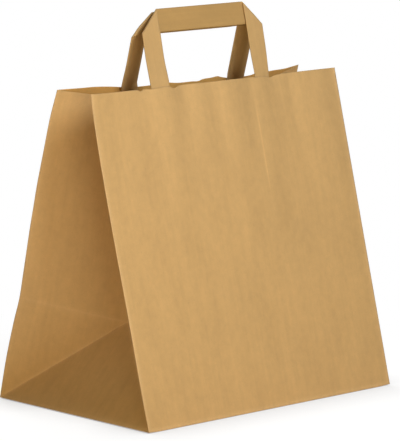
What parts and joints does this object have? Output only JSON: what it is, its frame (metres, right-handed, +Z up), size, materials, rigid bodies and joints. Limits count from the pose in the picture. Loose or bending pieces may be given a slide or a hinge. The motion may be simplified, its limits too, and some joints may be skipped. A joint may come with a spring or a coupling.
{
  "type": "paper carrier bag",
  "caption": "Kraft paper carrier with a wide block bottom, V-folded side gussets, a narrowed mouth and two flat folded tape handles glued inside the rim.",
  "frame": {"origin": "middle of the floor rectangle, on the surface the bag stands on", "axes": "+Z up; +X to the right along the wide front panel; -Y is the direction the front panel faces"},
  "size_m": [0.3208, 0.2106, 0.3774],
  "materials": {
    "kraft_sheet": "matte",
    "kraft_tape": "matte",
    "kraft_patch": "matte"
  },
  "bodies": {
    "root": {"bag_body": "kraft_sheet", "front_handle": "kraft_tape", "back_handle": "kraft_tape", "front_handle_patch": "kraft_patch", "back_handle_patch": "kraft_patch"}
  },
  "joints": []
}
